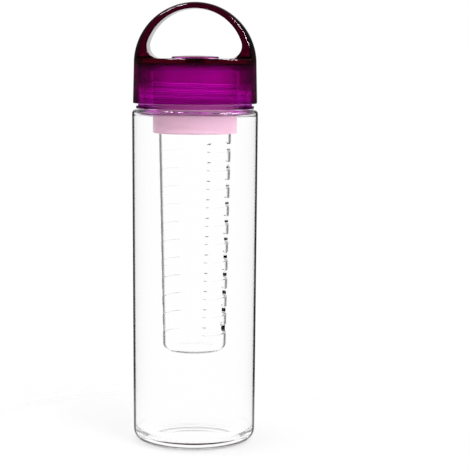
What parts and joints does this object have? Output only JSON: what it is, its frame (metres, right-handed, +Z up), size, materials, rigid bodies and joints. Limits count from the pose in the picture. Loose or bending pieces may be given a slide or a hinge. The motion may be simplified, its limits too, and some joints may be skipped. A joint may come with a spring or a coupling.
{
  "type": "fruit infuser water bottle",
  "caption": "Clear screw-top water bottle with an arched carry handle, a flip pour cap and a slotted infuser basket hung from the mouth.",
  "frame": {"origin": "centre of the foot, on the surface the bottle stands on", "axes": "+Z up along the bottle's axis, +X to the right of the front view along the handle's span, -Y towards the front"},
  "size_m": [0.0752, 0.0752, 0.2642],
  "materials": {
    "clear_body": "clear moulded plastic, polished",
    "clear_basket": "clear moulded plastic, polished",
    "tinted_head": "pale pink translucent plastic, polished",
    "lid_liner": "translucent purple plastic",
    "lid_colour": "translucent purple plastic, polished",
    "silicone": "milky silicone rubber",
    "pin_steel": "plain drawn pin"
  },
  "bodies": {
    "bottle": {"bottle_body": "clear_body"},
    "infuser": {"infuser_head": "tinted_head", "mouth_gasket": "silicone"},
    "o_ring": {"basket_o_ring": "silicone"},
    "basket": {"infuser_basket": "clear_basket"},
    "seal": {"lid_seal": "silicone"},
    "liner": {"thread_liner": "lid_liner"},
    "lid": {"lid_shell": "lid_colour", "cap_hinge_pin": "pin_steel"},
    "cap": {"spout_cap": "lid_colour", "cap_plug": "silicone"}
  },
  "joints": [
    {"name": "infuser_lift", "type": "slide", "parent": "bottle", "child": "infuser", "axis": [0, 0, 1], "range_m": [0, 0.175]},
    {"name": "lid_lift", "type": "slide", "parent": "infuser", "child": "seal", "axis": [0, 0, 1], "range_m": [0, 0.03]},
    {"name": "lid_rise", "type": "slide", "parent": "seal", "child": "liner", "axis": [0, 0, 1], "range_m": [0, 0.00702]},
    {"name": "lid_turn", "type": "hinge", "parent": "liner", "child": "lid", "pos_m": [0, 0, 0.2306], "axis": [0, 0, 1], "range_deg": [0, 630]},
    {"name": "cap_flip", "type": "hinge", "parent": "lid", "child": "cap", "pos_m": [0, 0.0156, 0.2293], "axis": [-1, 0, 0], "range_deg": [0, 105]},
    {"name": "basket_drop", "type": "slide", "parent": "infuser", "child": "o_ring", "axis": [0, 0, -1], "range_m": [0, 0.01204]},
    {"name": "basket_turn", "type": "hinge", "parent": "o_ring", "child": "basket", "pos_m": [0, 0, 0.1978], "axis": [0, 0, -1], "range_deg": [0, 540]}
  ],
  "couplings": [
    {"joint": "lid_rise", "follows": "lid_turn", "m_per_rad": 0.00063662},
    {"joint": "basket_drop", "follows": "basket_turn", "m_per_rad": 0.0012732}
  ]
}
